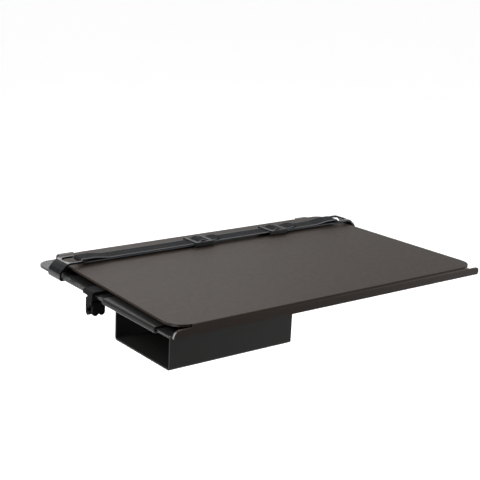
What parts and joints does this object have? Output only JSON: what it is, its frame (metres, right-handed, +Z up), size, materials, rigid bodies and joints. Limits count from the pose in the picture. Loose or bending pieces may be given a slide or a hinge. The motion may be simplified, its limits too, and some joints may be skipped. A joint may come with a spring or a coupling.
{
  "type": "tethering table",
  "caption": "Sheet-metal laptop platform with side rails, elastic laptop strap, hook-on drive compartment, cable clip and a stud socket for a light stand.",
  "frame": {"origin": "centre of the stand socket's mouth", "axes": "+Z up along the socket's axis, +X to the user's right, +Y away from the user; the lip is at -Y and the drive compartment at -X"},
  "size_m": [0.4362, 0.2785, 0.0631],
  "materials": {
    "table_coat": "aluminium sheet under a fine-textured dark brown-grey powder coat",
    "rail_coat": "aluminium sheet under a smooth glossy black coat",
    "compartment_coat": "aluminium sheet under a satin charcoal powder coat",
    "bare_aluminium": "machined and lightly brushed",
    "zinc_steel": "zinc-plated",
    "black_steel": "blackened steel",
    "pad_brass": "turned brass",
    "matte_plastic": "moulded black plastic, satin",
    "gloss_plastic": "moulded black plastic, glossy",
    "strap_fabric": "woven elastic webbing, dark grey"
  },
  "bodies": {
    "table": {"platform_sheet": "table_coat", "rail_left": "rail_coat", "rail_right": "rail_coat", "rail_nut_1": "zinc_steel", "rail_nut_2": "zinc_steel", "rail_nut_3": "zinc_steel", "rail_nut_4": "zinc_steel", "rail_nut_5": "zinc_steel", "rail_nut_6": "zinc_steel", "bracket_nut_1": "zinc_steel", "bracket_nut_2": "zinc_steel", "bracket_nut_3": "zinc_steel", "bracket_nut_4": "zinc_steel", "stand_bracket": "bare_aluminium", "stand_socket": "bare_aluminium", "cap_screw_1": "black_steel", "cap_screw_2": "black_steel", "cap_screw_3": "black_steel", "cap_screw_4": "black_steel"},
    "drive_holder": {"drive_cover": "compartment_coat", "drive_tray": "compartment_coat", "drive_rivet_1": "black_steel", "drive_rivet_2": "black_steel", "drive_rivet_3": "black_steel", "drive_rivet_4": "black_steel"},
    "clip": {"clip_body": "matte_plastic", "clip_pin": "zinc_steel"},
    "gate": {"clip_gate": "matte_plastic"},
    "strap": {"strap_webbing": "strap_fabric", "strap_hook_left": "gloss_plastic", "strap_hook_right": "gloss_plastic"},
    "slider_left": {"strap_slider_left": "matte_plastic"},
    "slider_right": {"strap_slider_right": "matte_plastic"},
    "pad": {"lock_pad": "pad_brass"},
    "screw": {"lock_screw": "zinc_steel", "lock_knob": "matte_plastic"}
  },
  "joints": [
    {"name": "drive_slide", "type": "slide", "parent": "table", "child": "drive_holder", "axis": [0, 1, 0], "range_m": [-0.02, 0.006]},
    {"name": "clip_slide", "type": "slide", "parent": "table", "child": "clip", "axis": [0, 1, 0], "range_m": [-0.004, 0.03]},
    {"name": "gate_turn", "type": "hinge", "parent": "clip", "child": "gate", "pos_m": [-0.20925, 0.0089, 0.0368], "axis": [-1, 0, 0], "range_deg": [0, 35]},
    {"name": "strap_slide", "type": "slide", "parent": "table", "child": "strap", "axis": [0, 1, 0], "range_m": [-0.01, 0.018]},
    {"name": "slider_left_slide", "type": "slide", "parent": "strap", "child": "slider_left", "axis": [1, 0, 0], "range_m": [-0.02, 0.02]},
    {"name": "slider_right_slide", "type": "slide", "parent": "strap", "child": "slider_right", "axis": [1, 0, 0], "range_m": [-0.02, 0.02]},
    {"name": "pad_slide", "type": "slide", "parent": "table", "child": "pad", "axis": [-1, 0, 0], "range_m": [0, 0.0025]},
    {"name": "screw_turn", "type": "hinge", "parent": "pad", "child": "screw", "pos_m": [0.03, 0, 0.018], "axis": [-1, 0, 0], "range_deg": [0, 720]}
  ],
  "couplings": [
    {"joint": "screw_turn", "follows": "pad_slide", "rad_per_m": 5026.5}
  ]
}
